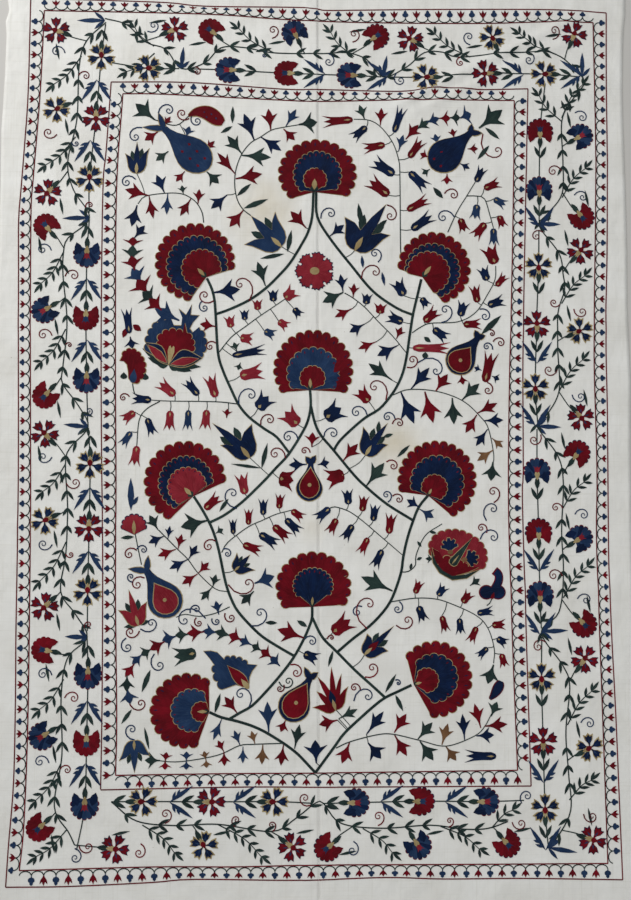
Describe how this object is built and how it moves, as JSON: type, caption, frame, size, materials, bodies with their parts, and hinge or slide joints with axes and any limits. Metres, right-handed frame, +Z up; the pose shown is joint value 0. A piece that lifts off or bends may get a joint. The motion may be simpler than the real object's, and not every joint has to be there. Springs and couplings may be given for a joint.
{
  "type": "suzani embroidered textile",
  "caption": "Two-panel cotton cloth with a flower-and-vine embroidery, spread flat, to cover a bed, a table or a wall.",
  "frame": {"origin": "on the surface that the cloth lies on, under the middle of the cloth", "axes": "+X across the cloth to the right, +Y along it towards the head of the design, +Z up out of the embroidered face"},
  "size_m": [1.604, 2.328, 0.0059],
  "materials": {
    "cotton_ground": "hand-woven undyed cotton with slubs and a few seed flecks, matt",
    "thread_crimson": "deep red embroidery thread with a soft sheen",
    "thread_rose": "rose red embroidery thread with a soft sheen",
    "thread_navy": "dark blue embroidery thread with a soft sheen",
    "thread_slate": "grey blue embroidery thread with a soft sheen",
    "thread_green": "dark green embroidery thread with a soft sheen",
    "thread_straw": "straw-coloured embroidery thread with a soft sheen",
    "thread_ochre": "ochre brown embroidery thread with a soft sheen"
  },
  "bodies": {
    "root": {"panel_left": "cotton_ground", "panel_right": "cotton_ground"}
  },
  "joints": []
}
